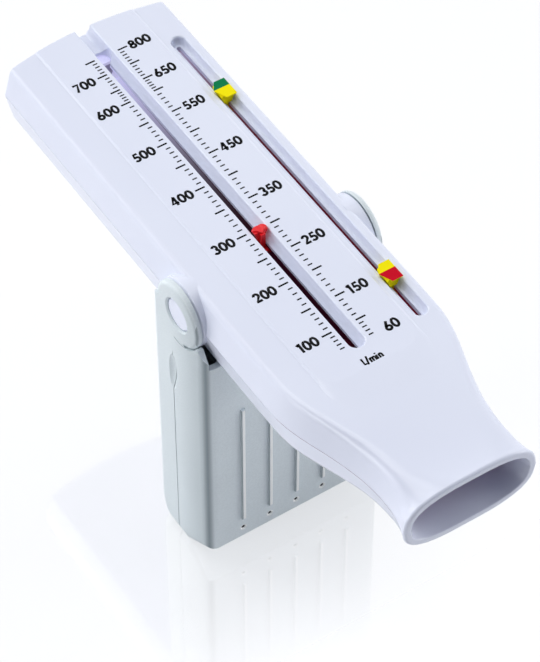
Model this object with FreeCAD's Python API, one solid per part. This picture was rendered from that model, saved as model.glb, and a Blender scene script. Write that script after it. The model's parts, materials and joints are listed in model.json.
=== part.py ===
"""A peak flow meter on its folding case, drawn at full size in millimetres.

X runs across the meter, -Y points out of the mouthpiece and +Z is up. The origin lies on the
sole of the case, straight under the pivot that joins the meter to the case. Pieces are drawn
around that pivot and then lifted by the height of the pivot above the sole.
"""
import FreeCAD, Part
import math
import os

over = 5.0                    # how far a cutter reaches past what it cuts

# Meter body: a barrel section that is widest at the parting plane
face_half_width = 22.0        # half the width of the flat face
side_lean = 1.7               # how much wider each side is at the parting plane
face_height = 8.8             # from the pivot plane up to the face
body_corner = 1.3             # rounding between the face and a side, along each of them
least_corner = 0.4            # the same rounding inside, where the wall leaves less
body_wall = 2.0
top_reach = 85.0              # from the pivot to the middle of the top end
top_end_radius = 95.0         # the top end is an arc seen from the front
end_flare = 1.3               # how far the end wall leans out at the parting plane
end_wall = 3.0
mouth_reach = 80.2            # from the pivot to the lip of the mouthpiece
neck_length = 50.2            # from the lip back to the straight barrel
lip_round = 0.7               # outer edge of the lip
lip_round_inside = 0.3
seam_height = 0.07            # fine line left around the outside where the halves meet
seam_depth = 0.3
seam_stop = 3.0               # the line ends this far behind the lip

# Raised scale panel on the face
panel_half_width = 13.6
panel_raise = 0.3
panel_bevel = 0.6             # its sides slope down over this width
panel_end = 43.0              # towards the mouthpiece
panel_fade = 5.0              # its end slopes down over this length
panel_corner = 5.0

# Middle groove for the pointer and side groove for the zone markers
groove_half_width = 2.1
groove_depth = 3.0
groove_lip = 0.45             # rounding of the edges of both grooves
groove_hollow = 0.3           # how far their walls bow outwards
slot_half_width = 0.8
groove_floor = 1.4
groove_end = 37.0             # towards the mouthpiece
groove_rib = 1.8              # wall that boxes a groove in underneath
keyhole_back = 9.6            # where the pointer is dropped in, measured back from the top end
keyhole_half_length = 2.6
zone_groove_x = 17.55
zone_half_width = 1.95
zone_depth = 2.3
zone_slot_half_width = 0.6
zone_back = 15.0              # from the top end back to the side groove
zone_end = 36.8

# Pivot between the meter and the case
pad_radius = 8.9
pad_stand = 0.7               # how far the round pad stands out from the side
pad_gap = 0.2                 # between the pad and the ear beside it
trunnion_radius = 4.35
trunnion_recess = 0.45        # its end lies this far inside the ear's outer face
edge_break = 0.4              # small bevel on pads, trunnions and the ears' holes
pivot_play = 0.09             # radial, between a trunnion and its ear
ear_radius = 8.9
ear_round = 1.2               # rounding of an ear's outer edge
ear_round_turn = 250          # degrees around the ear, from its front to its heel

# Case
case_wall = 1.6
case_back = 11.6              # rear face, behind the pivot
case_front = 11.7             # front face, ahead of the pivot
case_edge = 3.0               # rounding of the long edges
pivot_height = 87.2           # pivot above the sole of the case
sole_back = 6.3               # the flat sole, behind and ahead of the pivot
sole_front = 1.8
back_curve_height = 10.0      # where the rear face starts to curve into the sole
chin_height = 6.7             # front face ends this far above the sole
case_split = 2.35             # plane between the two halves of the case, behind the pivot
split_gap = 0.3
ear_gap = 0.3                 # between an ear and the door around it
rim_below_pivot = 9.6         # top of the rear wall and of the front plate
horn_below_pivot = 4.0        # top of the door's sides beside the ears
horn_slope_back = 9.1
ear_root_round = 1.1          # hollow corner between an ear and the split
heel_reach = 1.0              # an ear's rear line is aimed this far behind the case
notch_top = 16.5              # finger notch, measured down from the pivot
notch_bottom = 29.2
notch_half_width = 1.7
notch_depth = 1.0
rib_count = 5
rib_pitch = 7.9
rib_width = 1.2
rib_height = 0.7
rib_round = 0.4
rib_top = 29.5
rib_bottom = 73.2
dimple_below = 77.2
dimple_radius = 0.5
dimple_depth = 0.7
dimple_rim = 0.3              # bevel around a dimple
film_thickness = 0.4          # hinge film along the sole
film_half_length = 20.0
film_gap = 0.02               # between the film's end and the door

# Works inside the meter
rod_radius = 1.25
rod_play = 0.02
rod_floor = 0.6               # left at each blind end of the rod's seat
bridge_back = 18.2            # face of the inlet bridge, measured back from the lip
bridge_thick = 3.0
bridge_bar = 2.4
bridge_hub_radius = 3.2
block_thick = 2.8
window_near = 6.0             # the end block's two vents, from the middle plane
window_far = 12.0
window_half_height = 4.2
tongue_thick = 0.9            # tongue of the end block that closes the keyhole from below
fit_gap = 0.15
washer_thick = 0.5
bumper_thick = 1.8
bumper_radius = 3.4
piston_play = 0.5             # between the piston's plate and the chamber
piston_front = 34.2           # leading face of the plate at rest, towards the mouthpiece
plate_thick = 1.8
sleeve_start = 38.4
sleeve_length = 9.0
sleeve_radius = 3.4
web_reach = 13.0              # stiffening webs behind the plate
web_half_thick = 0.6
bush_radius = 2.2
bush_play = 0.08
spring_radius = 2.35
spring_wire = 0.5
spring_turns = 10
spring_play = 0.05            # at each end of the coil
seat_thick = 0.6              # washer that the coil hooks on
spacer_radius = 1.95          # tube inside the coil that the piston rests on

# Pointer and zone markers
pointer_at = 5.1              # line through the pointer's two tips, from the pivot towards the top end
pointer_half_width = 1.95
pointer_head = 0.85           # from the tips to the blunt end
pointer_tail = 1.6            # from the tips to the end towards the mouthpiece
pointer_top = 0.68            # above the scale panel
pointer_under = 0.15          # how far its wide top stands clear of the panel
valley_radius = 3.0           # shallow hollow between its two tips
valley_depth = 0.13
wedge_play = 0.3              # between the body of a pointer or marker and its groove
stem_play = 0.2               # each side, in the slot
keeper_thick = 1.0
keeper_gap = 0.3
keeper_half_width = 2.6
keeper_half_length = 2.4
marker_length = 6.0
marker_width = 2.95
marker_shift = 0.6            # the marker's middle sits this far outside its groove's middle
marker_beak = 1.6             # how far the tip points towards the scale
marker_tip_down = 2.55        # from the marker's top edge to its tip
marker_top = 1.0              # above the face
marker_under = 0.25           # how far the wide top stands clear of the face
marker_flare = 0.35           # how much smaller its plan is at the face
upper_marker_at = 48.2        # tip of each marker, from the pivot towards the top end
lower_marker_at = -22.1

middle_half_width = face_half_width + side_lean
keyhole_reach = top_reach - keyhole_back
zone_top = top_reach - zone_back
pad_reach = middle_half_width + pad_stand
case_half_width = pad_reach + pad_gap + case_wall
trunnion_reach = case_half_width - trunnion_recess
bridge_far = mouth_reach - bridge_back
panel_height = face_height + panel_raise
ceiling = panel_height - groove_depth - groove_floor
keeper_top = ceiling - keeper_gap
keeper_floor = keeper_top - keeper_thick
wide = case_half_width + over
crown = ear_radius + over

# Stations of the neck: distance back from the lip, then how much narrower than the barrel it is
# at the parting plane and at the face, how much lower, and its corner along the face and the side
NECK = [
    (neck_length, 0.0, 0.0, 0.0, body_corner, body_corner),
    (42.2, 0.2, 0.2, 0.0, body_corner, body_corner),
    (35.2, 1.5, 1.5, 0.05, 1.5, 1.5),
    (29.2, 3.4, 3.4, 0.2, 1.8, 1.8),
    (23.2, 5.2, 5.3, 0.4, 2.2, 2.2),
    (16.2, 6.7, 6.9, 0.6, 2.8, 2.8),
    (9.2, 7.2, 7.4, 0.6, 4.0, 3.6),
    (3.7, 6.6, 6.8, 0.3, 8.5, 5.6),
    (0.0, 5.3, 3.7, -0.3, 16.5, 8.4),
]


def vec(x, y, z):
    return FreeCAD.Vector(x, y, z)


def box(x0, x1, y0, y1, z0, z1):
    return Part.makeBox(x1 - x0, y1 - y0, z1 - z0, vec(x0, y0, z0))


def cylinder(radius, start, end):
    a, b = vec(*start), vec(*end)
    return Part.makeCylinder(radius, (b - a).Length, a, b - a)


def cone(radius_a, radius_b, start, end):
    a, b = vec(*start), vec(*end)
    return Part.makeCone(radius_a, radius_b, (b - a).Length, a, b - a)


def prism(points, direction):
    """A straight prism on a closed outline of corner points."""
    outline = Part.makePolygon([vec(*p) for p in points] + [vec(*points[0])])
    return Part.Face(outline).extrude(vec(*direction))


def prism_across(points, x0, x1):
    """Outline given as (y, z), drawn out along X."""
    return prism([(x0, y, z) for y, z in points], (x1 - x0, 0, 0))


def prism_along(points, y0, y1):
    """Outline given as (x, z), drawn out along Y."""
    return prism([(x, y0, z) for x, z in points], (0, y1 - y0, 0))


def prism_up(points, z0, z1):
    """Outline given as (x, y), drawn out along Z."""
    return prism([(x, y, z0) for x, y in points], (0, 0, z1 - z0))


def mirror_x(shape):
    return shape.mirror(vec(0, 0, 0), vec(1, 0, 0))


def turn_over(shape):
    """Half a turn about the meter's long axis."""
    turned = shape.copy()
    turned.rotate(vec(0, 0, 0), vec(0, 1, 0), 180)
    return turned


def half_section(reach, half_mid, half_face, height, corner_in, corner_down):
    """Closed upper half of the barrel section at one station."""
    y = -reach
    foot, crest = vec(half_mid, y, 0), vec(half_face, y, height)
    low = crest + (foot - crest).normalize() * corner_down
    high = vec(half_face - corner_in, y, height)
    rounding = Part.BezierCurve()
    rounding.setPoles([low, crest, high])
    other_side = Part.BezierCurve()
    other_side.setPoles([vec(-p.x, y, p.z) for p in (high, crest, low)])
    edges = [
        Part.makeLine(foot, low),
        rounding.toShape(),
        Part.makeLine(high, vec(-high.x, y, height)),
        other_side.toShape(),
        Part.makeLine(vec(-low.x, y, low.z), vec(-half_mid, y, 0)),
        Part.makeLine(vec(-half_mid, y, 0), foot),
    ]
    return Part.Wire(edges)


def half_barrel(inset, far, lip=0.0):
    """Upper half of the body, or of its cavity when it is inset by the wall."""
    wires = []
    for back, less_mid, less_face, less_height, corner_in, corner_down in NECK:
        reach = mouth_reach - back + (lip if back == 0 else 0)
        wires.append(half_section(
            reach, middle_half_width - less_mid - inset, face_half_width - less_face - inset,
            face_height - less_height - inset, max(corner_in - inset, least_corner),
            max(corner_down - inset, least_corner)))
    neck = Part.makeLoft(wires, True, False)
    straight = Part.Face(wires[0]).extrude(vec(0, far + mouth_reach - neck_length, 0))
    return straight.fuse(neck).removeSplitter()


def top_end_cutter():
    """Everything inside the arched, leaning top end of the upper half."""
    centre_y = top_reach - top_end_radius
    height = face_height + over
    lower_radius = top_end_radius + end_flare
    upper_radius = lower_radius - end_flare * height / face_height
    return cone(lower_radius, upper_radius, (0, centre_y, 0), (0, centre_y, height))


def bevelled_pin(radius, side, start, end):
    """Pin along X with a small bevel on its outer end."""
    bevel_x, end_x = side * (end - edge_break), side * end
    straight = cylinder(radius, (side * start, 0, 0), (bevel_x, 0, 0))
    return straight.fuse(cone(radius, radius - edge_break, (bevel_x, 0, 0), (end_x, 0, 0)))


def pivot_pads():
    """Upper halves of the round pads and trunnions."""
    pads = []
    for side in (-1, 1):
        pad = bevelled_pin(pad_radius, side, middle_half_width - 1.5 * body_wall, pad_reach)
        pin = bevelled_pin(trunnion_radius, side, middle_half_width - body_wall, trunnion_reach)
        pads.append(pad.fuse(pin))
    return pads[0].fuse(pads[1]).common(box(-wide, wide, -crown, crown, 0, crown))


def outer_half():
    """Solid outer form of the upper half, with its arched end."""
    neck_side = box(-wide, wide, -mouth_reach - over, 0, -over, face_height + over)
    return half_barrel(0.0, top_reach + over).common(top_end_cutter().fuse(neck_side))


def cavity_half():
    """Air space of the upper half: a straight chamber that runs out through the neck."""
    chamber = half_barrel(body_wall, top_reach + over, lip=lip_round)
    return chamber.cut(box(-wide, wide, top_reach - end_wall, top_reach + 2 * over, -over, crown))


def body_half():
    """One hollow half, before its grooves: the same form serves front and back."""
    shell = outer_half().cut(cavity_half())
    seam = box(-wide, wide, -mouth_reach + seam_stop, top_reach + over, -over, seam_height)
    return shell.cut(seam.cut(half_barrel(seam_depth, top_reach + over)))


def round_lip(shape):
    """Soften the lip of the mouthpiece: each rounding runs on along its whole edge from one level line."""
    wall_middle = face_height - NECK[-1][3] - body_wall / 2
    for radius, outside in ((lip_round, True), (lip_round_inside, False)):
        level = [e for e in shape.Edges
                 if abs(e.BoundBox.YMin + mouth_reach) < 0.01 and e.BoundBox.YLength < 0.01
                 and e.BoundBox.ZLength < 0.01 and e.BoundBox.ZMax > body_wall
                 and (e.BoundBox.ZMax > wall_middle) == outside]
        shape = shape.makeFillet(radius, level)
    return shape


def groove_outline(half_top, half_bottom, depth, top):
    """Right half of a groove's section: a hollow wall under a rounded lip, up to the middle line."""
    foot, wall_top = vec(half_bottom, 0, top - depth), vec(half_top, 0, top - groove_lip)
    wall = wall_top - foot
    bow = (foot + wall_top) * 0.5 + vec(wall.z, 0, -wall.x).normalize() * groove_hollow
    side = groove_lip * (1 - math.sqrt(0.5))
    lip_middle, lip_end = vec(half_top + side, 0, top - side), vec(half_top + groove_lip, 0, top)
    high = top + over
    return Part.Wire([
        Part.makeLine(vec(0, 0, top - depth), foot),
        Part.Arc(foot, bow, wall_top).toShape(),
        Part.Arc(wall_top, lip_middle, lip_end).toShape(),
        Part.makeLine(lip_end, vec(lip_end.x, 0, high)),
        Part.makeLine(vec(lip_end.x, 0, high), vec(0, 0, high)),
        Part.makeLine(vec(0, 0, high), vec(0, 0, top - depth)),
    ])


def trough(x, half_top, half_bottom, depth, top, start, end, round_far):
    """Cutter for a groove along Y with one round end or two."""
    section = Part.Face(groove_outline(half_top, half_bottom, depth, top))
    right = section.extrude(vec(0, end - start, 0)).translated(vec(0, start, 0))
    cutter = right.fuse(mirror_x(right))
    turned = section.revolve(vec(0, 0, 0), vec(0, 0, 1), 360)
    for y in (start, end) if round_far else (start,):
        cutter = cutter.fuse(turned.translated(vec(0, y, 0)))
    return cutter.translated(vec(x, 0, 0))


def slot_through(x, half_width, start, end):
    """The narrow slot in a groove's floor, with round ends."""
    z0, z1 = ceiling - groove_floor, panel_height
    cutter = box(x - half_width, x + half_width, start, end, z0, z1)
    for y in (start, end):
        cutter = cutter.fuse(cylinder(half_width, (x, y, z0), (x, y, z1)))
    return cutter


def groove_housings(far):
    """Solid ribs inside the face that box in the two grooves."""
    middle_half = groove_half_width + groove_rib
    start = -groove_end - groove_rib
    in_wall = face_height - body_wall / 2
    middle = box(-middle_half, middle_half, start, far, ceiling, in_wall)
    inner_edge = zone_groove_x - zone_half_width - groove_rib
    outer_edge = middle_half_width - body_wall / 2
    side = box(inner_edge, outer_edge, -zone_end - groove_rib, far, ceiling, in_wall)
    return middle.fuse(side)


def panel_outline(half, end, corner, z):
    """Plan of the raised panel at one height, with two round corners."""
    far, near, side = top_reach + over, -end, corner * (1 - math.sqrt(0.5))
    right = Part.Arc(vec(half, near + corner, z), vec(half - side, near + side, z),
                     vec(half - corner, near, z))
    left = Part.Arc(vec(corner - half, near, z), vec(side - half, near + side, z),
                    vec(-half, near + corner, z))
    return Part.Wire([
        Part.makeLine(vec(half, far, z), vec(half, near + corner, z)), right.toShape(),
        Part.makeLine(vec(half - corner, near, z), vec(corner - half, near, z)), left.toShape(),
        Part.makeLine(vec(-half, near + corner, z), vec(-half, far, z)),
        Part.makeLine(vec(-half, far, z), vec(half, far, z)),
    ])


def scale_panel():
    """The raised panel: its sides and its end slope down into the face and run on as far below it."""
    upper = panel_outline(panel_half_width, panel_end, panel_corner, panel_height)
    lower = panel_outline(panel_half_width + 2 * panel_bevel, panel_end + 2 * panel_fade,
                          panel_corner + 2 * panel_bevel, face_height - panel_raise)
    return Part.makeLoft([lower, upper], True, True).common(top_end_cutter().fuse(
        box(-wide, wide, -mouth_reach, 0, 0, crown)))


def make_front_shell():
    far = top_reach - end_wall
    shell = round_lip(body_half())
    housings = groove_housings(far).common(outer_half())
    pads = pivot_pads().cut(cavity_half())
    shell = shell.fuse([scale_panel(), housings, pads])
    start = -groove_end + groove_half_width
    shell = shell.cut(trough(0, groove_half_width, slot_half_width, groove_depth, panel_height,
                             start, top_reach + 2 * over, False))
    shell = shell.cut(slot_through(0, slot_half_width, start, keyhole_reach))
    zone_start = -zone_end + zone_half_width
    zone_stop = zone_top - zone_half_width
    shell = shell.cut(trough(zone_groove_x, zone_half_width, zone_slot_half_width * 2, zone_depth,
                             face_height, zone_start, zone_stop, True))
    shell = shell.cut(slot_through(zone_groove_x, zone_slot_half_width, zone_start, zone_stop))
    keyhole = cylinder(groove_half_width, (0, keyhole_reach, ceiling - groove_floor),
                       (0, keyhole_reach, panel_height + over))
    reach = keyhole_half_length - groove_half_width
    keyhole = keyhole.fuse(keyhole.translated(vec(0, reach, 0)))
    return shell.cut(keyhole)


def make_rear_shell():
    return turn_over(round_lip(body_half()).fuse(pivot_pads().cut(cavity_half())))


def cavity_size(reach):
    """Half width at the parting plane and at the face, and half height, of the air space in the neck."""
    back = mouth_reach - reach
    barrel = (middle_half_width, face_half_width, face_height)
    for a, b in zip(NECK, NECK[1:]):
        if b[0] <= back <= a[0]:
            t = (a[0] - back) / (a[0] - b[0])
            return [barrel[k] - body_wall - a[k + 1] - t * (b[k + 1] - a[k + 1]) for k in range(3)]
    return [size - body_wall for size in barrel]


def ring(outer, inner, y0, y1):
    """Ring around the guide rod."""
    return cylinder(outer, (0, y0, 0), (0, y1, 0)).cut(cylinder(inner, (0, y0 - over, 0), (0, y1 + over, 0)))


def make_guide_rod():
    return cylinder(rod_radius, (0, -bridge_far + rod_floor, 0), (0, top_reach - end_wall - rod_floor, 0))


def make_inlet_bridge():
    """Cross with a hub that carries the rod and leaves the air way open."""
    half_mid, half_face, height = cavity_size(bridge_far)
    y0, y1 = -bridge_far, -bridge_far + bridge_thick
    bar = bridge_bar / 2
    level = (half_mid - half_face) * bar / height
    across = box(-half_mid + fit_gap + level, half_mid - fit_gap - level, y0, y1, -bar, bar)
    upright = box(-bar, bar, y0, y1, -height + fit_gap, height - fit_gap)
    hub = cylinder(bridge_hub_radius, (0, y0, 0), (0, y1, 0))
    bridge = across.fuse([upright, hub]).removeSplitter()
    return bridge.cut(cylinder(rod_radius + rod_play, (0, y0 + rod_floor, 0), (0, y1 + over, 0)))


def make_spring_seat():
    """Washer on the bridge's hub that takes the end of the coil."""
    y0 = -bridge_far + bridge_thick
    return ring(bridge_hub_radius, rod_radius + 2 * rod_play, y0, y0 + seat_thick)


def make_rest_spacer():
    """Tube inside the coil: the piston comes to rest against its end."""
    start = -bridge_far + bridge_thick + seat_thick
    return ring(spacer_radius, rod_radius + 2 * rod_play, start, -sleeve_start - spring_play)


def chamber_plate(play, y0, y1, top_notch):
    """A plate that fills the straight chamber, notched under the two grooves."""
    half_mid = middle_half_width - body_wall - play
    half_face = face_half_width - body_wall - play
    height = face_height - body_wall - play
    plate = prism_along([(half_mid, 0), (half_face, height), (-half_face, height),
                         (-half_mid, 0), (-half_face, -height), (half_face, -height)], y0, y1)
    middle = groove_half_width + groove_rib + play
    side = zone_groove_x - zone_half_width - groove_rib - play
    plate = plate.cut(box(-middle, middle, y0 - over, y1 + over, top_notch, height + over))
    return plate.cut(box(side, half_mid + over, y0 - over, y1 + over, top_notch, height + over))


def make_end_block():
    """Block that carries the rod's far end, with two vents and a tongue under the keyhole."""
    y1 = top_reach - end_wall - fit_gap
    top = ceiling - fit_gap
    block = chamber_plate(fit_gap, y1 - block_thick, y1, top)
    window = box(window_near, window_far, y1 - block_thick - over, y1 + over,
                 -window_half_height, window_half_height)
    block = block.cut([window, mirror_x(window)])
    tongue = box(-groove_half_width, groove_half_width, keyhole_reach, y1, top - tongue_thick, top)
    block = block.fuse(tongue).removeSplitter()
    return block.cut(cylinder(rod_radius + rod_play, (0, y1 - block_thick - over, 0), (0, y1 + over, 0)))


def make_end_washer():
    y1 = top_reach - end_wall - fit_gap - block_thick
    return ring(bumper_radius, rod_radius + 2 * rod_play, y1 - washer_thick, y1)


def make_end_bumper():
    y1 = top_reach - end_wall - fit_gap - block_thick - washer_thick
    return ring(bumper_radius, rod_radius + 2 * rod_play, y1 - bumper_thick, y1)


def make_piston():
    """Plate that the breath pushes, on a sleeve with two stiffening webs."""
    front = -piston_front
    start, end = -sleeve_start, -sleeve_start + sleeve_length
    plate = chamber_plate(piston_play, front - plate_thick, front, keeper_floor - piston_play)
    sleeve = cylinder(sleeve_radius, (0, start, 0), (0, end, 0))
    inner, base = sleeve_radius - web_half_thick, front - plate_thick / 2
    web = prism_up([(inner, base), (web_reach, base), (inner, end - web_half_thick)],
                   -web_half_thick, web_half_thick)
    piston = plate.fuse([sleeve, web, mirror_x(web)]).removeSplitter()
    return piston.cut(cylinder(bush_radius, (0, start - over, 0), (0, end + over, 0)))


def make_piston_bush():
    """Slippery liner pressed into the sleeve."""
    return ring(bush_radius, rod_radius + bush_play, -sleeve_start, -sleeve_start + sleeve_length)


def make_return_spring():
    """Tension coil between the inlet bridge and the piston, its fine wire drawn with six flats."""
    start = -bridge_far + bridge_thick + seat_thick
    height = -sleeve_start - start - spring_wire - 2 * spring_play
    pitch = height / spring_turns
    helix = Part.makeHelix(pitch, height, spring_radius)
    corners = [math.radians(30 + 60 * k) for k in range(7)]
    wire = spring_wire / 2
    section = Part.makePolygon([vec(spring_radius + wire * math.cos(a), 0, wire * math.sin(a)) for a in corners])
    coil = Part.Wire(helix).makePipeShell([section], True, True)
    coil.rotate(vec(0, 0, 0), vec(1, 0, 0), -90)
    coil.translate(vec(0, start + spring_wire / 2 + spring_play, 0))
    return coil


def wedge_in_groove(x, half_top, half_bottom, depth, top, y0, y1, head_z):
    """Body of a pointer or marker that fills its groove with play on every side."""
    low = top - depth + wedge_play
    low_half = half_bottom + (half_top - half_bottom) * wedge_play / depth - wedge_play
    top_half = half_top - wedge_play
    wedge = prism_along([(x - low_half, low), (x + low_half, low), (x + top_half, top), (x - top_half, top)],
                        y0, y1)
    return wedge.fuse(box(x - top_half, x + top_half, y0, y1, top - 0.01, head_z))


def flared_head(outlines, heights):
    """Head of a marker, drawn between two plans."""
    wires = []
    for outline, z in zip(outlines, heights):
        points = [vec(x, y, z) for x, y in outline]
        wires.append(Part.makePolygon(points + [points[0]]))
    return Part.makeLoft(wires, True, True)


def pointer_plan(share, z):
    """Smooth heart-shaped plan with a tip towards each scale, at a share of its full size."""
    w, head, tail = pointer_half_width, pointer_head, pointer_tail
    points = [(w, 0), (0.6 * w, 0.9 * head), (0, head), (-0.6 * w, 0.9 * head), (-w, 0),
              (-0.45 * w, -0.6 * tail), (0, -tail), (0.45 * w, -0.6 * tail)]
    plan = Part.BSplineCurve()
    plan.interpolate([vec(share * x, pointer_at + share * y, z) for x, y in points], PeriodicFlag=True)
    return Part.Wire(plan.toShape())


def pointer_pebble(low, top):
    """The pointer's head, drawn through four plans so that it is rounded like a pebble."""
    height = top - low
    shares = [(0.82, 0.0), (1.0, 0.35), (0.94, 0.75), (0.72, 1.0)]
    return Part.makeLoft([pointer_plan(share, low + k * height) for share, k in shares], True, False)


def make_pointer():
    """Pointer that rides in the middle groove, on a stem through the slot."""
    low = panel_height + pointer_under
    top = panel_height + pointer_top
    start, end = pointer_at - pointer_tail, pointer_at + pointer_head
    axis_z = top + valley_radius - valley_depth
    valley = cylinder(valley_radius, (0, start - over, axis_z), (0, end + over, axis_z))
    third = pointer_tail / 3
    slope = prism_across([(pointer_at - third, top), (start - third, low + pointer_under),
                          (start - third, top + over), (pointer_at - third, top + over)], -over, over)
    body = wedge_in_groove(0, groove_half_width, slot_half_width, groove_depth, panel_height,
                           start + third, pointer_at + pointer_head / 2, low + pointer_under)
    stem_half = slot_half_width - stem_play
    middle, reach = pointer_at - pointer_tail / 2, keeper_half_length / 2
    stem = box(-stem_half, stem_half, middle - reach, middle + reach, keeper_top - 0.01, panel_height)
    head = pointer_pebble(low, top).cut(valley).cut(slope)
    return head.fuse([body, stem]).removeSplitter()


def make_pointer_keeper():
    """Clip under the slot that gives the pointer its drag."""
    y = pointer_at - pointer_tail / 2
    return box(-keeper_half_width, keeper_half_width, y - keeper_half_length, y + keeper_half_length,
               keeper_floor, keeper_top - 0.01)


def marker_outline(tip, shrink):
    """Five-cornered plan of a zone marker, its beak pointing at the scale."""
    top = tip + marker_tip_down
    x0 = zone_groove_x - marker_width / 2 + marker_shift + shrink
    x1 = zone_groove_x + marker_width / 2 + marker_shift - shrink
    return [(x0, top - shrink), (x0 - marker_beak + shrink * 0.3, tip),
            (x0, top - marker_length + shrink), (x1, top - marker_length + shrink), (x1, top - shrink)]


def make_zone_marker(tip):
    low = face_height + marker_under
    top = face_height + marker_top
    head = flared_head([marker_outline(tip, marker_flare), marker_outline(tip, 0.0)], [low, top])
    middle = tip + marker_tip_down - marker_length / 2
    body_half, stem_reach = 0.37 * marker_length, 0.3 * marker_length
    body = wedge_in_groove(zone_groove_x, zone_half_width, 2 * zone_slot_half_width, zone_depth, face_height,
                           middle - body_half, middle + body_half, top - marker_under)
    stem_half = zone_slot_half_width - stem_play
    stem = box(zone_groove_x - stem_half, zone_groove_x + stem_half, middle - stem_reach, middle + stem_reach,
               keeper_top - 0.01, face_height)
    return head.fuse([body, stem]).removeSplitter()


def make_marker_keeper(tip):
    middle = tip + marker_tip_down - marker_length / 2
    half = zone_half_width - fit_gap
    return box(zone_groove_x - half, zone_groove_x + half, middle - keeper_half_length,
               middle + keeper_half_length, keeper_floor, keeper_top - 0.01)


def case_block(inset, top):
    """Closed block with the case's side profile, inset for its inside."""
    sole = -pivot_height + inset
    back, front = case_back - inset, -case_front + inset
    curve_top = -pivot_height + back_curve_height
    chin = -pivot_height + chin_height + inset * 0.8
    sole_y0 = -sole_front + inset * 0.35
    curve = Part.BezierCurve()
    curve.setPoles([vec(0, back, curve_top), vec(0, back, sole), vec(0, sole_back, sole)])
    corners = [vec(0, sole_back, sole), vec(0, sole_y0, sole), vec(0, front, chin),
               vec(0, front, top), vec(0, back, top), vec(0, back, curve_top)]
    edges = [curve.toShape()] + [Part.makeLine(a, b) for a, b in zip(corners, corners[1:])]
    half = case_half_width - inset
    block = Part.Face(Part.Wire(edges)).extrude(vec(2 * half, 0, 0)).translated(vec(-half, 0, 0))
    rim = [e for e in block.Edges if e.BoundBox.XLength < 0.01 and e.BoundBox.ZMin < top - over]
    return block.makeFillet(case_edge - inset, rim)


def case_skin():
    return case_block(0.0, crown).cut(case_block(case_wall, crown + over))


def ear_profile(radius, root):
    """Side outline of an ear with its root behind and below the pivot, as one slab."""
    disc = cylinder(radius, (-wide, 0, 0), (wide, 0, 0))
    split = case_split + split_gap / 2
    heel_y = case_back + heel_reach
    distance = math.hypot(heel_y, rim_below_pivot)
    angle = math.acos(radius / distance) - math.atan2(rim_below_pivot, heel_y)
    touch = (radius * math.cos(angle), radius * math.sin(angle))
    heel = prism_across([(0, 0), touch, (heel_y, -rim_below_pivot), (heel_y, -notch_top),
                         (split, -notch_top)], -wide, wide)
    fill_low = -math.sqrt((ear_radius + ear_root_round) ** 2 - (ear_root_round - split) ** 2)
    centre_y = split - ear_root_round
    fill = box(-wide, wide, centre_y, split, fill_low, 0).cut(
        cylinder(root, (-wide - over, centre_y, fill_low), (wide + over, centre_y, fill_low)))
    return disc.fuse([heel, fill])


def ear_rounding(side):
    """What is taken off an ear's outer edge, from its front round to the heel."""
    outer, start = case_half_width, case_half_width - ear_round
    low, cut = ear_radius - ear_round, ear_round * (1 - math.sqrt(0.5))
    arc = Part.Arc(vec(start, ear_radius, 0), vec(outer - cut, ear_radius - cut, 0), vec(outer, low, 0))
    wire = Part.Wire([
        arc.toShape(),
        Part.makeLine(vec(outer, low, 0), vec(wide, low, 0)),
        Part.makeLine(vec(wide, low, 0), vec(wide, crown, 0)),
        Part.makeLine(vec(wide, crown, 0), vec(start, crown, 0)),
        Part.makeLine(vec(start, crown, 0), vec(start, ear_radius, 0)),
    ])
    cutter = Part.Face(wire).revolve(vec(0, 0, 0), vec(1, 0, 0), ear_round_turn)
    return cutter if side > 0 else mirror_x(cutter)


def make_ears():
    """The two ears, cut from the case's own side walls."""
    inner = case_half_width - case_wall
    ears = case_block(0.0, crown).common(ear_profile(ear_radius, ear_root_round))
    ears = ears.cut(box(-inner, inner, -case_front - over, case_back - case_wall, -pivot_height, crown))
    return ears.cut([ear_rounding(-1), ear_rounding(1)])


def finger_notch():
    """Dished recess across the split on each side, pressed in by a slim torus."""
    half_length = (notch_bottom - notch_top) / 2
    long_radius = (half_length ** 2 + notch_depth ** 2) / (2 * notch_depth)
    short_radius = (notch_half_width ** 2 + notch_depth ** 2) / (2 * notch_depth)
    centre = vec(case_half_width - notch_depth + long_radius, case_split, -(notch_top + notch_bottom) / 2)
    dish = Part.makeTorus(long_radius - short_radius, short_radius, centre, vec(0, 1, 0))
    return dish.fuse(mirror_x(dish))


def make_case_rear():
    split = case_split + split_gap / 2
    skin = case_skin()
    tray = skin.common(box(-wide, wide, split, case_back + over, -pivot_height - over, -rim_below_pivot))
    between = case_half_width - case_edge
    ears = make_ears().cut(box(-between, between, -case_front - over, case_back + over,
                               -rim_below_pivot, crown))
    rear = tray.fuse(ears).removeSplitter()
    hole = trunnion_radius + pivot_play
    rear = rear.cut(cylinder(hole, (-wide, 0, 0), (wide, 0, 0)))
    for side in (-1, 1):
        rear = rear.cut(cone(hole, hole + edge_break, (side * (case_half_width - edge_break), 0, 0),
                             (side * case_half_width, 0, 0)))
    film = box(-film_half_length, film_half_length, case_split - split_gap / 2 + film_gap, split + case_wall,
               -pivot_height, -pivot_height + film_thickness)
    return rear.fuse(film).removeSplitter().cut(finger_notch())


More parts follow.
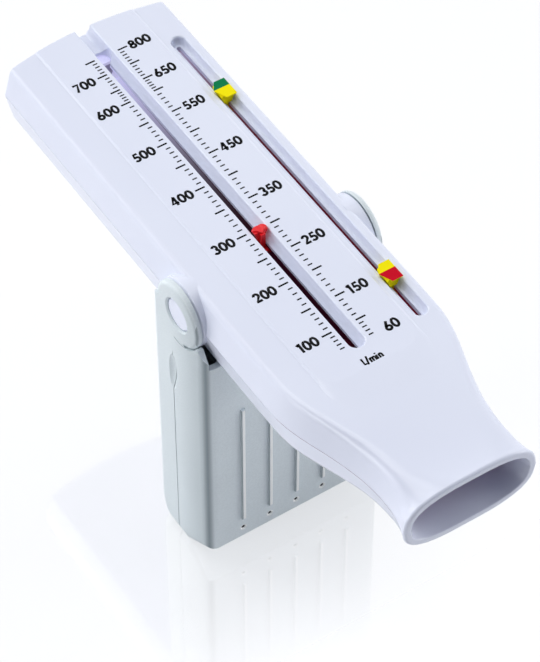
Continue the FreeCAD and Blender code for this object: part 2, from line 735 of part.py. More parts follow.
def make_case_door():
    split = case_split - split_gap / 2
    skin = case_skin()
    door = skin.common(box(-wide, wide, -case_front - over, split, -pivot_height - over, -horn_below_pivot))
    door = door.cut(ear_profile(ear_radius + ear_gap, ear_root_round - ear_gap))
    inner = case_half_width - case_wall
    door = door.cut(box(-inner, inner, -case_front - over, split + over, -rim_below_pivot, crown))
    front = -case_front - over
    slope = (rim_below_pivot - horn_below_pivot) / (case_front + heel_reach - horn_slope_back)
    shoulder = prism_across([(-horn_slope_back, -horn_below_pivot),
                             (front, -horn_below_pivot - slope * (case_front + over - horn_slope_back)),
                             (front, crown), (-horn_slope_back, crown)], -wide, wide)
    door = door.cut(shoulder)
    for k in range(rib_count):
        x = (k - (rib_count - 1) / 2) * rib_pitch
        rib = box(x - rib_width / 2, x + rib_width / 2, -case_front - rib_height, -case_front + case_wall / 2,
                  -rib_bottom, -rib_top)
        outer = [e for e in rib.Edges if abs(e.BoundBox.YMax + case_front + rib_height) < 0.001]
        door = door.fuse(rib.makeFillet(rib_round, outer))
        dimple = cylinder(dimple_radius, (x, -case_front - over, -dimple_below),
                          (x, -case_front + dimple_depth, -dimple_below))
        rim = cone(dimple_radius + dimple_rim, dimple_radius, (x, -case_front, -dimple_below),
                   (x, -case_front + dimple_rim, -dimple_below))
        door = door.cut([dimple, rim])
    return door.removeSplitter().cut(finger_notch())


NODES = {
    "front_shell": make_front_shell,
    "rear_shell": make_rear_shell,
    "guide_rod": make_guide_rod,
    "inlet_bridge": make_inlet_bridge,
    "spring_seat": make_spring_seat,
    "rest_spacer": make_rest_spacer,
    "end_block": make_end_block,
    "end_washer": make_end_washer,
    "end_bumper": make_end_bumper,
    "piston": make_piston,
    "piston_bush": make_piston_bush,
    "return_spring": make_return_spring,
    "peak_pointer": make_pointer,
    "pointer_keeper": make_pointer_keeper,
    "upper_zone_marker": lambda: make_zone_marker(upper_marker_at),
    "upper_marker_keeper": lambda: make_marker_keeper(upper_marker_at),
    "lower_zone_marker": lambda: make_zone_marker(lower_marker_at),
    "lower_marker_keeper": lambda: make_marker_keeper(lower_marker_at),
    "case_rear": make_case_rear,
    "case_door": make_case_door,
}

os.makedirs("parts", exist_ok=True)
for name, make in NODES.items():
    shape = make().translated(vec(0, 0, pivot_height))
    shape.exportStep(os.path.join("parts", name + ".step"))
    bounds = shape.BoundBox
    print("%-22s solids %d valid %s volume %9.1f mm3  x %.1f..%.1f y %.1f..%.1f z %.1f..%.1f" % (
        name, len(shape.Solids), shape.isValid(), shape.Volume,
        bounds.XMin, bounds.XMax, bounds.YMin, bounds.YMax, bounds.ZMin, bounds.ZMax))
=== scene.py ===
# %% [markdown]
# # A peak flow meter standing on its folding case
#
# The meter is a flat, hollow barrel of glossy pale plastic. Breath pushes a piston along it, and
# the piston carries a small red pointer up a printed scale. Two coloured markers slide in a second
# groove, and the grey case is both a cover for the mouthpiece and a stand.
# The solids come from the part's own model, already in place. This file gives them their finishes,
# prints the scale on the face, and sets up the floor, the lamps and the camera.

# %% Load the solids
import json
import math

import bpy
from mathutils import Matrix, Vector


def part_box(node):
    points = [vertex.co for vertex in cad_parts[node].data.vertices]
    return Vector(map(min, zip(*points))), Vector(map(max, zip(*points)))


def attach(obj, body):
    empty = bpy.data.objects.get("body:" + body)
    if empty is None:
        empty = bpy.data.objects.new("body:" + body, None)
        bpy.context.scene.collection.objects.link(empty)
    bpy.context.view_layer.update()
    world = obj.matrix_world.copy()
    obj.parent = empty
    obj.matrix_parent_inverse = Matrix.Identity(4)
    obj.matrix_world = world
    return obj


MM = 0.001

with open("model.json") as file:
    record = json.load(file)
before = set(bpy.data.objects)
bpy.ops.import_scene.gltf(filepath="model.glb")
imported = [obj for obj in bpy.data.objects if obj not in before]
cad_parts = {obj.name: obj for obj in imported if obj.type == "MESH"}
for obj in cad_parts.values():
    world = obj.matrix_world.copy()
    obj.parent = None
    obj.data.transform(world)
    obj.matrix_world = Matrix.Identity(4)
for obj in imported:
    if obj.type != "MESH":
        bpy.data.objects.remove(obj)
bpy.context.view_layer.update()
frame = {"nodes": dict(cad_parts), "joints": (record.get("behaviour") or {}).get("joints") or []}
nodes = frame["nodes"]
joints = {joint["name"]: joint for joint in frame["joints"]}
pivot = Vector(joints["meter_swing"]["pos_m"])
panel_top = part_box("front_shell")[1].z
print("solids", len(nodes), "pivot height mm", round(pivot.z / MM, 2))
print("panel height mm", round(panel_top / MM, 2))

# %% [markdown]
# ## Shader maths in plain Python
#
# A finish is mostly arithmetic on a point's place: is it inside the barrel, is it above a line?
# Writing that with single nodes is hard to read, so a small class wraps a socket and gives it the
# usual operators. Every expression then adds its own Math nodes. A second class holds the tree and
# adds every node, from its type, its settings and what goes into its sockets. The Geometry Nodes
# further down are built with the same two classes.

# %% A socket that can be added, multiplied and compared
class Value:
    """What comes out of a node: a number, a colour, a shader or some geometry."""

    def __init__(self, build, socket):
        self.build = build
        self.socket = socket

    def _do(self, operation, first, second):
        return self.build.node("ShaderNodeMath", {"operation": operation}, {0: first, 1: second})

    def __add__(self, other):
        return self._do("ADD", self, other)

    __radd__ = __add__

    def __sub__(self, other):
        return self._do("SUBTRACT", self, other)

    def __rsub__(self, other):
        return self._do("SUBTRACT", other, self)

    def __mul__(self, other):
        return self._do("MULTIPLY", self, other)

    def __gt__(self, other):
        return self._do("GREATER_THAN", self, other)

    def __lt__(self, other):
        return self._do("LESS_THAN", self, other)

    def size(self):
        return self._do("ABSOLUTE", self, 0.0)

    def root(self):
        return self._do("SQRT", self, 0.0)

    def rounded(self):
        return self._do("ROUND", self, 0.0)

    def remainder(self, divisor):
        return self._do("MODULO", self, divisor)

    def from_nearest(self, pitch):
        """The distance to the nearest whole multiple of a pitch."""
        return self._do("PINGPONG", self, pitch / 2)

    def ramp(self, low, high):
        """0 below low, 1 above high and smooth between."""
        settings = {"interpolation_type": "SMOOTHSTEP"}
        inputs = {"Value": self, "From Min": low, "From Max": high}
        return self.build.node("ShaderNodeMapRange", settings, inputs)


class Build:
    """A node tree under construction."""

    def __init__(self, tree):
        self.tree = tree

    def node(self, kind, settings, inputs, output=0):
        """Adds a node and returns one of its outputs, or several where output is a list."""
        made = self.tree.nodes.new(kind)
        for key, value in settings.items():
            setattr(made, key, value)
        for key, value in inputs.items():
            self.feed(made.inputs[key], value)
        if isinstance(output, list):
            return [Value(self, made.outputs[key]) for key in output]
        return Value(self, made.outputs[output])

    def feed(self, socket, value):
        """Links a socket to a Value or to each one in a list, or sets it to a constant."""
        if isinstance(value, list):
            for one in value:
                self.feed(socket, one)
        elif isinstance(value, Value):
            self.tree.links.new(value.socket, socket)
        else:
            socket.default_value = value


class Shading(Build):
    """The shader tree of a material or of the sky."""

    def coordinates(self, kind):
        return self.node("ShaderNodeTexCoord", {}, {}, kind)

    def mix(self, mask, without, covered):
        """One number where the mask is 0 and another where it is 1."""
        return self.node("ShaderNodeMix", {}, {0: mask, 2: without, 3: covered})

    def blend(self, mask, without, covered):
        """One colour where the mask is 0 and another where it is 1."""
        return self.node("ShaderNodeMix", {"data_type": "RGBA"}, {0: mask, 6: without, 7: covered}, 2)


class Paint(Shading):
    """A new material and its shader tree."""

    def __init__(self, name):
        self.material = bpy.data.materials.new(name)
        self.material.use_nodes = True
        super().__init__(self.material.node_tree)
        self.shader = self.tree.nodes["Principled BSDF"]

    def place(self):
        """The point's x, y and z in the object's own frame."""
        return self.node("ShaderNodeSeparateXYZ", {}, {0: self.coordinates("Object")}, [0, 1, 2])

    def facing(self):
        """The three parts of the surface's outward direction, in the object's own frame."""
        return self.node("ShaderNodeSeparateXYZ", {}, {0: self.coordinates("Normal")}, [0, 1, 2])

    def noise(self, scale, detail=2.0, roughness=0.5):
        inputs = {"Scale": scale, "Detail": detail, "Roughness": roughness}
        inputs["Vector"] = self.coordinates("Object")
        return self.node("ShaderNodeTexNoise", {}, inputs)

    def bump(self, height, depth, strength):
        inputs = {"Height": height, "Distance": depth, "Strength": strength}
        self.feed(self.shader.inputs["Normal"], self.node("ShaderNodeBump", {}, inputs))

    def put(self, **sockets):
        for name, value in sockets.items():
            self.feed(self.shader.inputs[name.replace("_", " ")], value)
        return self.material


def srgb(*colour):
    """A colour as seen on a screen, 0 to 255, turned into the linear values that light uses."""
    linear = [((c / 255 + 0.055) / 1.055) ** 2.4 if c > 10 else c / 255 / 12.92 for c in colour]
    return (*linear, 1.0)


def finish_nodes(material, *names):
    """Gives one finish to some of the part's solids."""
    for name in names:
        slots = nodes[name].data.materials
        slots.clear()
        slots.append(material)
    print(material.name, "on", ", ".join(names))


# %% [markdown]
# ## Glossy pale plastic for the barrel
#
# The barrel is moulded in a cool white with a hint of violet and has a polished surface, so its
# colour is nearly even and the interest is in the reflections. Two soft noises keep it from looking
# like computer plastic: a wide one for the slight drift in the colour of a moulded wall, a fine one
# for handling marks in the gloss. Thin white plastic lets some light through, so the chamber behind
# the slots isn't black. Its colour there is painted shade and light: a dark wine shade near the
# piston, where the piston and the case below block the light, pales to lavender towards the closed
# end, and a weak painted glow stands in for the light that seeps in. Both come from the place of
# the point, so they stay in place when the piston moves. The mouthpiece's bore is found by its
# direction, because only an inner wall faces the axis, and it gets a mauve tint that stands in for its
# shade.

# %% Barrel plastic
shell_white = srgb(232, 236, 250)
shell_shade = srgb(228, 232, 247)
shell_roughness, chamber_roughness = 0.22, 0.62
drift_scale = 18.0
handling_scale, handling_wear = 160.0, 0.04
# Painted shade and light for the chamber behind the slots: dark wine near the piston, lavender towards
# the closed end, and a painted glow.
chamber_painted_shade = srgb(58, 10, 30)
chamber_painted_light = srgb(198, 196, 222)
painted_glow_dark = srgb(34, 2, 18)
painted_glow_wine = srgb(104, 8, 34)
painted_glow_pale = srgb(196, 196, 220)
no_glow = srgb(0, 0, 0)
painted_glow_strength = 0.55
bore_deep = srgb(196, 174, 196)
chamber_half_width = 21.75 * MM
chamber_low = pivot.z - 6.85 * MM
chamber_high = pivot.z + 5.2 * MM
chamber_start = -38 * MM
chamber_end = 82.1 * MM
pale_from = 6 * MM
pale_to = 80 * MM
side_slot_from = 12 * MM
side_slot_shift = 16 * MM
bore_pale_to = -79.5 * MM
bore_deep_from = -62 * MM


def barrel_plastic():
    paint = Paint("barrel_plastic")
    x, y, z = paint.place()
    normal_x, _, normal_z = paint.facing()

    drift = paint.noise(drift_scale).ramp(0.35, 0.65)
    outside_colour = paint.blend(drift, shell_white, shell_shade)
    inwards = normal_x * x + normal_z * (z - pivot.z) < 0.0
    bore = inwards * (y < chamber_start) * y.ramp(bore_pale_to, bore_deep_from)
    outside_colour = paint.blend(bore, outside_colour, bore_deep)

    # Inside the chamber the base colour is painted shade and light, and the emission is a painted glow.
    inside = (x.size() < chamber_half_width) * (z > chamber_low) * (z < chamber_high)
    inside = inside * (y > chamber_start) * (y < chamber_end)
    side_slot = x > side_slot_from
    half_way = (y - side_slot * side_slot_shift).ramp(pale_from, pale_to)
    towards_end = half_way * half_way
    chamber_painted_shading = paint.blend(towards_end, chamber_painted_shade, chamber_painted_light)
    painted_glow_near_piston = paint.blend(side_slot, painted_glow_dark, painted_glow_wine)
    painted_glow_colour = paint.blend(towards_end, painted_glow_near_piston, painted_glow_pale)

    wear = paint.noise(handling_scale) * handling_wear
    return paint.put(
        Base_Color=paint.blend(inside, outside_colour, chamber_painted_shading),
        Roughness=wear + shell_roughness + inside * (chamber_roughness - shell_roughness),
        IOR=1.46,
        Emission_Color=paint.blend(inside, no_glow, painted_glow_colour),
        Emission_Strength=painted_glow_strength,
        Coat_Weight=0.2,
        Coat_Roughness=0.1,
    )


finish_nodes(barrel_plastic(), "front_shell", "rear_shell", "inlet_bridge", "end_block")

# %% [markdown]
# ## Satin grey plastic for the case
#
# The case is a softer, slightly green grey with a fine spark-eroded grain from its mould. The grain
# is far smaller than a millimetre, so a fine noise as bump gives it, with a trace of the same noise
# in the colour. The rest of the colour is shading that is painted on, because the plain lamps give
# little of it: the rib tops and the rims of the dimples are pale, the bottoms of the dimples are
# dark, and the plastic darkens along the sides towards the long rounded edges in front. It stays
# as it is under any other light.
# Ribs and dimples sit at one pitch, so the distance to the nearest multiple of it finds them all.

# %% Case plastic
case_light = srgb(224, 233, 236)
case_grain = srgb(214, 223, 226)
case_edge_dark = srgb(118, 132, 138)
rib_pale = srgb(250, 252, 250)
dimple_dark = srgb(60, 66, 70)
case_roughness, case_roughness_spread = 0.42, 0.12
grain_scale, grain_depth = 2600.0, 0.03 * MM
cloud_scale = 40.0
rib_front = -11.85 * MM
edge_front = -8.0 * MM
edge_shade, side_shade = 0.9, 0.45
side_shade_from, side_shade_to = -5.0 * MM, 11.0 * MM
dimple_front = -10.0 * MM
dimple_height = pivot.z - 77.2 * MM
dimple_row_half = 17.0 * MM
dimple_rim = 0.95 * MM
dimple_hole = 0.5 * MM
rib_pitch = 7.9 * MM


def case_plastic():
    paint = Paint("case_plastic")
    x, y, z = paint.place()
    normal_x, normal_y, _ = paint.facing()
    grain = paint.noise(grain_scale, 2.0, 0.7)
    speckle = grain.ramp(0.35, 0.65) * 0.6 + paint.noise(cloud_scale).ramp(0.3, 0.7) * 0.4
    colour = paint.blend(speckle, case_light, case_grain)

    edge = normal_x.size().ramp(0.25, 0.75) * normal_y.size().ramp(0.3, 0.75) * (y < edge_front)
    colour = paint.blend(edge * edge_shade, colour, case_edge_dark)
    side = normal_x.size().ramp(0.6, 0.9) * (0.0 - y).ramp(side_shade_from, side_shade_to)
    colour = paint.blend(side * side_shade, colour, case_edge_dark)

    on_rib = (y < rib_front) * (normal_y < -0.85)
    colour = paint.blend(on_rib, colour, rib_pale)
    across, up = x.from_nearest(rib_pitch), z - dimple_height
    from_dimple = (across * across + up * up).root()
    in_row = (x.size() < dimple_row_half) * (y < dimple_front)
    colour = paint.blend(in_row * (from_dimple < dimple_rim), colour, rib_pale)
    colour = paint.blend(in_row * (from_dimple < dimple_hole), colour, dimple_dark)

    paint.bump(grain, grain_depth, 0.6)
    roughness = case_roughness + grain * case_roughness_spread
    return paint.put(Base_Color=colour, Roughness=roughness, IOR=1.47)


finish_nodes(case_plastic(), "case_rear", "case_door")

# %% [markdown]
# ## Pointer and zone markers
#
# The pointer is one glossy red moulding. A zone marker is moulded in yellow, and one half of its
# top face carries a second colour: green on the upper marker, red on the lower one. The line
# between the two colours runs through the marker's beak, so it is found from the marker's own box.

# %% Coloured plastics
pointer_red = srgb(244, 28, 38)
marker_yellow = srgb(252, 236, 0)
marker_green = srgb(0, 124, 74)
marker_red = srgb(206, 0, 34)
tip_below_top_edge = 2.55 * MM
print_depth = 0.05 * MM
wear_scale, wear_depth = 900.0, 0.01 * MM
worn_share = 0.93


def plain_gloss(name, colour, roughness):
    paint = Paint(name)
    wear = paint.noise(wear_scale)
    paint.bump(wear, wear_depth, 0.4)
    worn = (*[c * worn_share for c in colour[:3]], 1.0)
    return paint.put(
        Base_Color=paint.blend(wear.ramp(0.4, 0.7), colour, worn),
        Roughness=wear * 0.1 + roughness,
        Specular_IOR_Level=0.4,
    )


def marker_plastic(name, node, field_colour, field_above):
    """Yellow plastic with a colour field on one side of the line through the beak."""
    _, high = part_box(node)
    paint = Paint(name)
    _, y, z = paint.place()
    line = high.y - tip_below_top_edge
    on_top = z > high.z - print_depth
    side = (y > line) if field_above else (y < line)
    wear = paint.noise(wear_scale)
    paint.bump(wear, wear_depth, 0.4)
    return paint.put(
        Base_Color=paint.blend(on_top * side, marker_yellow, field_colour),
        Roughness=wear * 0.12 + 0.4,
        Specular_IOR_Level=0.08,
    )


green_field = marker_plastic("upper_marker_paint", "upper_zone_marker", marker_green, True)
red_field = marker_plastic("lower_marker_paint", "lower_zone_marker", marker_red, False)
finish_nodes(green_field, "upper_zone_marker")
finish_nodes(red_field, "lower_zone_marker")
finish_nodes(plain_gloss("pointer_red_gloss", pointer_red, 0.25), "peak_pointer", "pointer_keeper")
yellow_gloss = plain_gloss("marker_yellow_gloss", marker_yellow, 0.25)
finish_nodes(yellow_gloss, "upper_marker_keeper", "lower_marker_keeper")

# %% [markdown]
# ## Works inside the barrel
#
# The piston is a dark wine moulding. Its liner and the spacer at its resting place are a milky
# low-friction plastic, the rod, the spring and its seats are bright drawn steel, and the end bumper
# is pale rubber. Drawn wire has fine lines along its length, made here by a noise that is stretched
# along Y.

# %% Inner finishes
piston_colour = srgb(92, 18, 40)
liner_colour = srgb(236, 234, 226)
steel_colour = srgb(205, 207, 210)
rubber_colour, rubber_bloom = srgb(196, 194, 208), srgb(182, 180, 196)
line_stretch = (4000.0, 60.0, 4000.0)
line_depth = 0.005 * MM


def drawn_steel():
    paint = Paint("drawn_steel")
    inputs = {"Vector": paint.coordinates("Object"), "Scale": line_stretch}
    stretched = paint.node("ShaderNodeMapping", {}, inputs)
    inputs = {"Vector": stretched, "Scale": 1.0, "Detail": 2.0}
    lines = paint.node("ShaderNodeTexNoise", {}, inputs)
    paint.bump(lines, line_depth, 0.5)
    return paint.put(Base_Color=steel_colour, Metallic=1.0, Roughness=lines * 0.2 + 0.18)


def matt_rubber():
    paint = Paint("matt_rubber")
    bloom = paint.noise(700.0, 3.0)
    return paint.put(
        Base_Color=paint.blend(bloom.ramp(0.4, 0.8), rubber_colour, rubber_bloom),
        Roughness=bloom * 0.2 + 0.65,
    )


finish_nodes(drawn_steel(), "guide_rod", "return_spring", "spring_seat", "end_washer")
finish_nodes(plain_gloss("piston_wine", piston_colour, 0.35), "piston")
finish_nodes(plain_gloss("liner_plastic", liner_colour, 0.3), "piston_bush", "rest_spacer")
finish_nodes(matt_rubber(), "end_bumper")

# %% [markdown]
# ## Printed scale: the ink
#
# The scale is pad-printed in black, so ticks and numerals are a film a few hundredths of a
# millimetre thick on the raised panel. They are real geometry and not a texture, so that they stay
# sharp at any distance and go with the model when it is exported.

# %% Ink
ink_full, ink_thin = srgb(5, 5, 8), srgb(12, 11, 16)


def black_ink():
    paint = Paint("scale_ink")
    spread = paint.noise(1500.0)
    return paint.put(
        Base_Color=paint.blend(spread.ramp(0.5, 0.8), ink_full, ink_thin),
        Roughness=spread * 0.15 + 0.5,
        Specular_IOR_Level=0.12,
    )


ink = black_ink()
ink_film = 0.03 * MM

# Where each printed value sits, in millimetres from the pivot towards the closed end. The spacing
# isn't even: the marks crowd towards the closed end, where a rise in flow moves the piston less.
scale_marks = {
    50: -36.6, 100: -30.05, 150: -21.6, 200: -12.2, 250: -3.46, 300: 5.3, 350: 14.7, 400: 23.4,
    450: 32.0, 500: 40.3, 550: 48.5, 600: 56.8, 650: 61.7, 700: 67.8, 800: 73.55,
}
steps_between_marks = 5
print("printed values", len(scale_marks), "ink film mm", round(ink_film / MM, 3))

# %% [markdown]
# ## Printed scale: the ticks
#
# Between two marks there are always four short ticks. The marks go into a mesh as a chain of
# points that carry a rank of 0, 5, 10 and so on. Geometry Nodes turns the chain into a curve and
# cuts every stretch into five, and the rank is shared out evenly on the way, so a whole multiple of
# five means a long tick. Each point then gets a thin block on both sides of the groove.

# %% Geometry Nodes helpers
class Growth(Build):
    """A Geometry Nodes tree with named inputs."""

    def __init__(self, name):
        super().__init__(bpy.data.node_groups.new(name, "GeometryNodeTree"))
        for way in ("INPUT", "OUTPUT"):
            self.tree.interface.new_socket("Geometry", in_out=way, socket_type="NodeSocketGeometry")
        self.start = self.tree.nodes.new("NodeGroupInput")
        self.end = self.tree.nodes.new("NodeGroupOutput")
        self.base = Value(self, self.start.outputs[0])
        self.keys = {}

    def size(self, name, value):
        """Adds a named length to the tree's inputs and returns it."""
        socket = self.tree.interface.new_socket(name, in_out="INPUT", socket_type="NodeSocketFloat")
        socket.default_value = value
        self.keys[name] = socket.identifier
        return Value(self, self.start.outputs[name])

    def close(self, geometry, material):
        """Ends the tree in real geometry with its finish on it."""
        real = self.node("GeometryNodeRealizeInstances", {}, {0: geometry})
        painted = self.node("GeometryNodeSetMaterial", {}, {"Geometry": real, "Material": material})
        self.feed(self.end.inputs[0], painted)


def grow(name, base_mesh, growth, sizes):
    """Runs a tree on a mesh and returns the result as a plain mesh object."""
    seed = bpy.data.objects.new(name + "_seed", base_mesh)
    bpy.context.scene.collection.objects.link(seed)
    modifier = seed.modifiers.new("grow", "NODES")
    modifier.node_group = growth.tree
    for key, value in sizes.items():
        modifier[growth.keys[key]] = value
    evaluated = seed.evaluated_get(bpy.context.evaluated_depsgraph_get())
    mesh = bpy.data.meshes.new_from_object(evaluated)
    mesh.name = name
    bpy.data.objects.remove(seed)
    made = bpy.data.objects.new(name, mesh)
    bpy.context.scene.collection.objects.link(made)
    print(name, "faces", len(mesh.polygons))
    return made


# %% Ticks
tick_start = 3.3 * MM
long_tick = 2.65 * MM
short_tick = 1.25 * MM
long_width = 0.46 * MM
short_width = 0.36 * MM


def chain_mesh(name, points, ranks):
    mesh = bpy.data.meshes.new(name)
    mesh.from_pydata(points, [(k, k + 1) for k in range(len(points) - 1)], [])
    layer = mesh.attributes.new("rank", "FLOAT", "POINT")
    layer.data.foreach_set("value", ranks)
    return mesh


def tick_growth():
    growth = Growth("scale_ticks")
    start = growth.size("Start", tick_start)
    long_size = growth.size("Long tick", long_tick)
    short_size = growth.size("Short tick", short_tick)
    long_thick = growth.size("Long width", long_width)
    short_thick = growth.size("Short width", short_width)
    film = growth.size("Film", ink_film)
    line = growth.node("GeometryNodeMeshToCurve", {}, {"Mesh": growth.base})
    cuts = steps_between_marks - 1
    cut = growth.node("GeometryNodeSubdivideCurve", {}, {"Curve": line, "Cuts": cuts})
    rank = growth.node("GeometryNodeInputNamedAttribute", {"data_type": "FLOAT"}, {"Name": "rank"})
    nearest = rank.rounded()
    is_long = nearest.remainder(float(steps_between_marks)) < 0.5
    length = short_size + is_long * (long_size - short_size)
    width = short_thick + is_long * (long_thick - short_thick)
    middle = start + length * 0.5
    block = growth.node("GeometryNodeMeshCube", {}, {"Size": (1.0, 1.0, 1.0)})
    scale = growth.node("ShaderNodeCombineXYZ", {}, {0: length, 1: width, 2: film})
    printed = nearest > 0.5
    rows = []
    for side in (-1.0, 1.0):
        offset = growth.node("ShaderNodeCombineXYZ", {}, {0: middle * side})
        moved = growth.node("GeometryNodeSetPosition", {}, {"Geometry": cut, "Offset": offset})
        inputs = {"Points": moved, "Selection": printed, "Instance": block, "Scale": scale}
        rows.append(growth.node("GeometryNodeInstanceOnPoints", {}, inputs))
    growth.close(growth.node("GeometryNodeJoinGeometry", {}, {0: rows}), ink)
    return growth


mark_points = [(0.0, y * MM, panel_top) for y in scale_marks.values()]
mark_ranks = [float(k * steps_between_marks) for k in range(len(mark_points))]
tick_sizes = {"Start": tick_start, "Long tick": long_tick, "Short tick": short_tick,
              "Long width": long_width, "Short width": short_width, "Film": 2 * ink_film}
ticks = grow("scale_ticks", chain_mesh("marks", mark_points, mark_ranks), tick_growth(), tick_sizes)
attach(ticks, "meter")

# %% [markdown]
# ## Printed scale: the numerals
#
# The numerals are a plain geometric sans serif in one stroke width. Such letters are easiest to
# draw as a draughtsman would with a pen: each one is a few straight runs and arcs along the middle
# of the stroke, and a flat nib swept along them gives the ink. The nib is again Geometry Nodes, so
# one tree prints every character.

# %% Pen strokes of each character, in units of its height
nib = 0.23
low, top = nib / 2, 1 - nib / 2


def arc(cx, cy, rx, ry, start, stop, pieces=14):
    """Points along part of an ellipse, angles in degrees, counter-clockwise from +x."""
    angles = [math.radians(start + (stop - start) * k / pieces) for k in range(pieces + 1)]
    return [(cx + rx * math.cos(a), cy + ry * math.sin(a)) for a in angles]


strokes = {
    "0": (0.64, [arc(0.32, 0.5, 0.235, 0.415, 90, 450, 28)]),
    "1": (0.40, [[(0.02, 0.80), (0.20, top), (0.24, top)], [(0.24, 1.0), (0.24, 0.0)]]),
    "2": (0.62, [arc(0.31, 0.685, 0.205, 0.23, 172, -32) + [(0.12, low), (0.14, low)],
                 [(0.08, low), (0.58, low)]]),
    "3": (0.60, [arc(0.28, 0.705, 0.185, 0.21, 160, -90), arc(0.28, 0.29, 0.225, 0.205, 90, -160)]),
    "4": (0.66, [[(0.47, 1.0), (0.08, 0.28), (0.64, 0.28)], [(0.46, 0.95), (0.46, 0.0)]]),
    "5": (0.60, [[(0.53, top), (0.20, top), (0.13, 0.52)] + arc(0.29, 0.31, 0.225, 0.225, 118, -150)]),
    "6": (0.62, [arc(0.31, 0.295, 0.225, 0.21, 140, 500, 28), [(0.42, 1.0), (0.13, 0.43)]]),
    "7": (0.58, [[(0.03, top), (0.50, top), (0.17, 0.0)]]),
    "8": (0.62, [arc(0.31, 0.725, 0.175, 0.19, 0, 360, 24), arc(0.31, 0.29, 0.225, 0.205, 0, 360, 28)]),
    "L": (0.46, [[(low, 1.0), (low, low), (0.44, low)]]),
    "/": (0.42, [[(0.02, -0.08), (0.38, 1.05)]]),
    "m": (0.92, [[(low, 0.62), (low, 0.0)], arc(0.275, 0.37, 0.19, 0.19, 180, 0) + [(0.465, 0.0)],
                 arc(0.655, 0.37, 0.19, 0.19, 180, 0) + [(0.845, 0.0)]]),
    "i": (0.30, [[(0.12, 0.62), (0.12, 0.0)], [(0.12, 0.92), (0.12, 0.78)]]),
    "n": (0.56, [[(low, 0.62), (low, 0.0)], arc(0.28, 0.37, 0.195, 0.19, 180, 0) + [(0.475, 0.0)]]),
}


# %% A flat nib swept along the strokes
def stroke_mesh(name, text, height, centre_x, centre_y, squeeze=1.0):
    """The pen strokes of a word, centred on a point of the panel."""
    gap = 0.06
    width = sum(strokes[c][0] + gap for c in text) - gap
    cursor = centre_x / height / squeeze - width / 2
    base = centre_y / height - 0.5
    points, edges = [], []
    for character in text:
        advance, lines = strokes[character]
        for line in lines:
            first = len(points)
            for x, y in line:
                across, up = (cursor + x) * height * squeeze, (base + y) * height
                points.append((across, up, panel_top))
            edges += [(k, k + 1) for k in range(first, len(points) - 1)]
        cursor += advance + gap
    mesh = bpy.data.meshes.new(name)
    mesh.from_pydata(points, edges, [])
    return mesh


def nib_growth():
    growth = Growth("pen_nib")
    width = growth.size("Nib", 1.0)
    film = growth.size("Film", ink_film)
    line = growth.node("GeometryNodeMeshToCurve", {}, {"Mesh": growth.base})
    flat = growth.node("GeometryNodeSetCurveNormal", {"mode": "Z_UP"}, {"Curve": line})
    inputs = {"Width": width, "Height": film}
    tip = growth.node("GeometryNodeCurvePrimitiveQuadrilateral", {}, inputs)
    inputs = {"Curve": flat, "Profile Curve": tip, "Fill Caps": True}
    growth.close(growth.node("GeometryNodeCurveToMesh", {}, inputs), ink)
    return growth


numeral_height = 2.9 * MM
unit_height = 2.1 * MM
unit_squeeze = 0.86
left_labels_x = -9.8 * MM
right_labels_x = 9.4 * MM
label_drop = 0.15 * MM
unit_place = (0.1 * MM, -41.2 * MM)
first_printed_value = 60
first_printed_place = -35.3

nib_tree = nib_growth()
labels = []
for value, y in scale_marks.items():
    if value == min(scale_marks):
        value, y = first_printed_value, first_printed_place
    on_left = value % 100 == 0 and value != max(scale_marks)
    x = left_labels_x if on_left else right_labels_x
    labels.append((str(value), numeral_height, x, y * MM - label_drop))
labels.append(("L/min", unit_height, *unit_place))

for text, height, x, y in labels:
    name = "print_" + text.replace("/", "_per_")
    lines = stroke_mesh(name + "_strokes", text, height, x, y, unit_squeeze if "/" in text else 1.0)
    printed = grow(name, lines, nib_tree, {"Nib": nib * height, "Film": 2 * ink_film})
    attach(printed, "meter")

# %% [markdown]
# ## Floor, lamps and camera
#
# The meter stands on a white, polished table. Light that falls on the table bounces back up as from
# any white surface. The camera sees it as clear glass over a white room, with a trace of shadow and a
# weak mirror image of the case that fades within a few centimetres. So the open door, which hangs
# below the sole when the meter is folded away by hand, stays in sight.
#
# The sky is even but for a dark part behind and below the camera, because a glossy white object
# shows its form only where its surroundings have some contrast. The camera sees the whole sky at
# full strength, so the background is white, but it turns pale blue in a view towards the dark part.
# There are four wide lamps. The one behind on the left is nearer to the closed end than to the
# mouthpiece, so its light falls off a little along the face. The ones on the left, above and on
# the right fill in the other sides.

# %% Floor
floor_half = 3.0
floor_bounce = 0.08
floor_lift = 0.5
floor_lit_share = 0.3
floor_mirror_share = 0.3
mirror_full_until, mirror_gone_from = 12 * MM, 62 * MM
mirror_roughness = 0.06
floor_white = (0.85, 0.85, 0.87, 1.0)


def grey(level):
    return (level, level, level, 1.0)


def floor_paint():
    paint = Paint("table_white")
    seen = paint.node("ShaderNodeLightPath", {}, {}, "Is Camera Ray")
    _, y, _ = paint.place()
    near = 1.0 - (0.0 - y).ramp(mirror_full_until, mirror_gone_from)
    paint.put(
        Base_Color=floor_white,
        Roughness=0.7,
        Specular_IOR_Level=0.0,
        Emission_Color=paint.blend(seen, grey(floor_bounce), grey(floor_bounce + floor_lift)),
        Emission_Strength=1.0,
    )
    white = Value(paint, paint.shader.outputs[0])
    clear = paint.node("ShaderNodeBsdfTransparent", {}, {})
    mirror = paint.node("ShaderNodeBsdfGlossy", {}, {"Roughness": mirror_roughness})
    inputs = {0: seen * (1.0 - floor_lit_share), 1: white, 2: clear}
    lit = paint.node("ShaderNodeMixShader", {}, inputs)
    inputs = {0: seen * near * floor_mirror_share, 1: lit, 2: mirror}
    mixed = paint.node("ShaderNodeMixShader", {}, inputs)
    paint.feed(paint.tree.nodes["Material Output"].inputs["Surface"], mixed)
    return paint.material


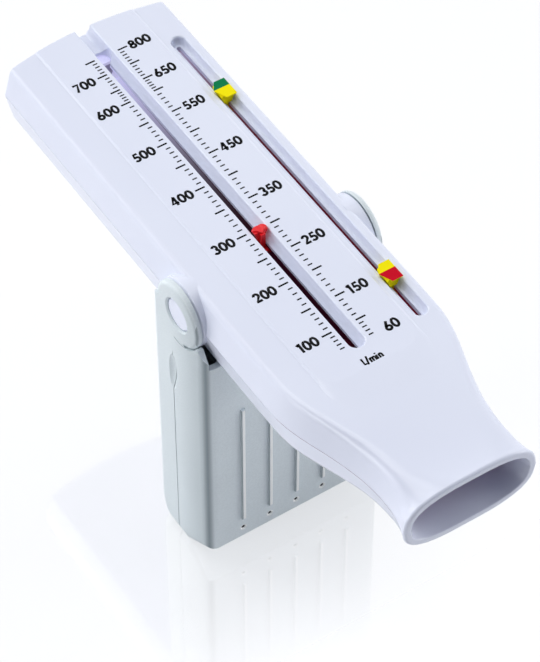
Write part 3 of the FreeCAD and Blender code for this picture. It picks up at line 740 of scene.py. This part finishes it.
def make_floor():
    mesh = bpy.data.meshes.new("table_top")
    corners = [(-floor_half, -floor_half, 0), (floor_half, -floor_half, 0),
               (floor_half, floor_half, 0), (-floor_half, floor_half, 0)]
    mesh.from_pydata(corners, [], [(0, 1, 2, 3)])
    mesh.materials.append(floor_paint())
    floor = bpy.data.objects.new("table_top", mesh)
    bpy.context.scene.collection.objects.link(floor)


make_floor()
print("table width m", 2 * floor_half)

# %% Sky and lamps
sky_light, mirrored_sky_light = 0.71, 1.0
sky_colour = (0.965, 0.975, 1.0, 1.0)
dark_side = (-0.56, -0.69, 0.45)
dark_side_light = 0.04
dark_side_colour = (0.55, 0.7, 1.0, 1.0)
dark_side_from, dark_side_full = 0.1, 0.8

# Each lamp's place, the point it is turned to, its width in metres and its watts.
lamps = {
    "window_behind_left": ((-0.60, 1.0, 0.65), (0, 0.02, 0.07), 0.8, 4.5),
    "window_left": ((-1.2, 0.1, 0.4), (0, 0, 0.07), 0.6, 4.2),
    "window_above": ((-0.1, 0.25, 1.05), (0, 0.02, 0.08), 0.7, 3.3),
    "window_right": ((0.85, -0.35, 0.35), (0, 0, 0.06), 0.5, 3.0),
}


def make_sky():
    """At full strength to the camera, and otherwise even but for one dark part."""
    world = bpy.data.worlds.new("studio_sky")
    bpy.context.scene.world = world
    world.use_nodes = True
    sky = Shading(world.node_tree)
    seen, mirrored = sky.node("ShaderNodeLightPath", {}, {}, ["Is Camera Ray", "Is Glossy Ray"])
    inputs = {0: sky.coordinates("Generated"), 1: dark_side}
    nearness = sky.node("ShaderNodeVectorMath", {"operation": "DOT_PRODUCT"}, inputs, "Value")
    shade = nearness.ramp(dark_side_from, dark_side_full)
    light = sky.mix(mirrored, sky_light, mirrored_sky_light)
    light = sky.mix(shade, light, dark_side_light)
    background = world.node_tree.nodes["Background"]
    sky.feed(background.inputs["Strength"], sky.mix(seen, light, 1.0))
    sky.feed(background.inputs["Color"], sky.blend(shade, sky_colour, dark_side_colour))


def lamp(name, place, aim, size, watts):
    data = bpy.data.lights.new(name, "AREA")
    data.size = size
    data.energy = watts
    made = bpy.data.objects.new(name, data)
    made.location = place
    made.rotation_euler = (Vector(aim) - Vector(place)).to_track_quat("-Z", "Y").to_euler()
    bpy.context.scene.collection.objects.link(made)


make_sky()
for name, values in lamps.items():
    lamp(name, *values)
print("lamps", ", ".join(lamps))

# %% Camera
camera_azimuth = math.radians(-33.28)
camera_elevation = math.radians(50.15)
camera_distance = 0.6609
camera_aim = Vector((-0.0146, -0.0219, 0.096))
lens_in_picture_heights = 2921.87 / 662
sensor_size = 36.0
back = Vector((
    math.sin(camera_azimuth) * math.cos(camera_elevation),
    -math.cos(camera_azimuth) * math.cos(camera_elevation),
    math.sin(camera_elevation),
))
camera_data = bpy.data.cameras.new("photo_camera")
camera_data.sensor_width = sensor_size
camera_data.lens = sensor_size * lens_in_picture_heights
camera_data.clip_start = 0.05
camera_data.clip_end = 20.0
camera = bpy.data.objects.new("photo_camera", camera_data)
camera.location = camera_aim + back * camera_distance
camera.rotation_euler = (-back).to_track_quat("-Z", "Y").to_euler()
bpy.context.scene.collection.objects.link(camera)
bpy.context.scene.camera = camera
bpy.context.scene.view_settings.view_transform = "Standard"
print("lens mm", round(camera_data.lens, 1), "distance m", camera_distance)
